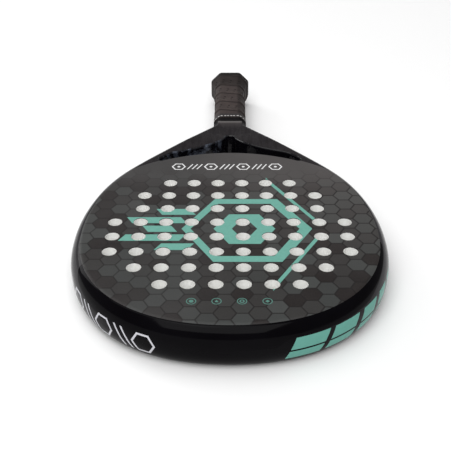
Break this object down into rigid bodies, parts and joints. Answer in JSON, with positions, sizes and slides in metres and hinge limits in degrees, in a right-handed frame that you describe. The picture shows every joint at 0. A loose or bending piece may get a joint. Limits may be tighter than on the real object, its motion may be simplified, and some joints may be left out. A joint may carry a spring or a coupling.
{
  "type": "padel racket",
  "caption": "Padel racket with a perforated teardrop head, open throat and octagonal wrapped grip.",
  "frame": {"origin": "centre of the footprint on the surface the racket lies on, at the height of that surface", "axes": "+Y from the tip of the head to the butt of the handle, +Z normal to the two faces, +X across the head"},
  "size_m": [0.26, 0.455, 0.038],
  "materials": {
    "gloss_black_frame": "black lacquer over fibre laminate, high gloss",
    "filler_foam": "rigid closed-cell foam",
    "white_foam_core": "soft closed-cell foam, cut faces",
    "printed_laminate": "satin lacquered laminate printed with dark grey hexagons and teal shapes",
    "moulded_pallet": "moulded foam plastic",
    "cushion_grip": "soft cushion wrap",
    "perforated_overgrip": "matt perforated wrap with overlapped turns",
    "finishing_tape": "thin tape with a row of pale dashes",
    "collar_rubber": "smooth rubber",
    "cap_plastic": "moulded plastic, fine texture",
    "eyelet_metal": "black painted metal",
    "staple_steel": "bright wire"
  },
  "bodies": {
    "root": {"frame_tube": "gloss_black_frame", "throat_yoke": "gloss_black_frame", "frame_foam": "filler_foam", "yoke_foam": "filler_foam", "handle_core": "filler_foam", "head_core": "white_foam_core", "face_skin_upper": "printed_laminate", "face_skin_lower": "printed_laminate", "handle_shell_upper": "moulded_pallet", "handle_shell_lower": "moulded_pallet", "base_grip": "cushion_grip", "overgrip": "perforated_overgrip", "finishing_tape": "finishing_tape", "grip_collar": "collar_rubber", "butt_cap": "cap_plastic", "cord_eyelet": "eyelet_metal", "cap_staples": "staple_steel"}
  },
  "joints": []
}
